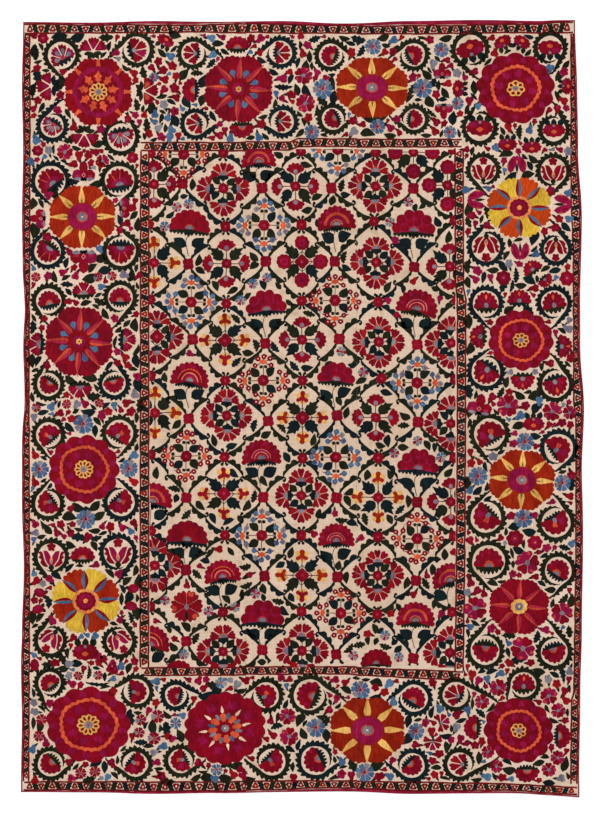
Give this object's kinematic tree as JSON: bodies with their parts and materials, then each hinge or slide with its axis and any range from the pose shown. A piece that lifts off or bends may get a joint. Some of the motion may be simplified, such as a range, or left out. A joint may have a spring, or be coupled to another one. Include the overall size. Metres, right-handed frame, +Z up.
{
  "type": "suzani embroidered textile",
  "caption": "Large flat embroidered hanging or cover of narrow cotton panels sewn side by side, with a flower lattice field, a rosette border and an edging tape.",
  "frame": {"origin": "on the surface that the cloth lies on, under the middle of its outline", "axes": "+X to the right across the cloth, +Y towards its top edge, along its length, +Z up out of its embroidered face"},
  "size_m": [1.818, 2.509, 0.0069],
  "materials": {
    "embroidered_ground": "cream cotton cloth worked all over with silk thread in crimson, madder red, orange, magenta, yellow, blue and dark green",
    "edging_tape": "narrow crimson silk tape"
  },
  "bodies": {
    "root": {"ground_panel_1": "embroidered_ground", "ground_panel_2": "embroidered_ground", "ground_panel_3": "embroidered_ground", "ground_panel_4": "embroidered_ground", "ground_panel_5": "embroidered_ground", "edging_top": "edging_tape", "edging_bottom": "edging_tape", "edging_left": "edging_tape", "edging_right": "edging_tape"}
  },
  "joints": []
}
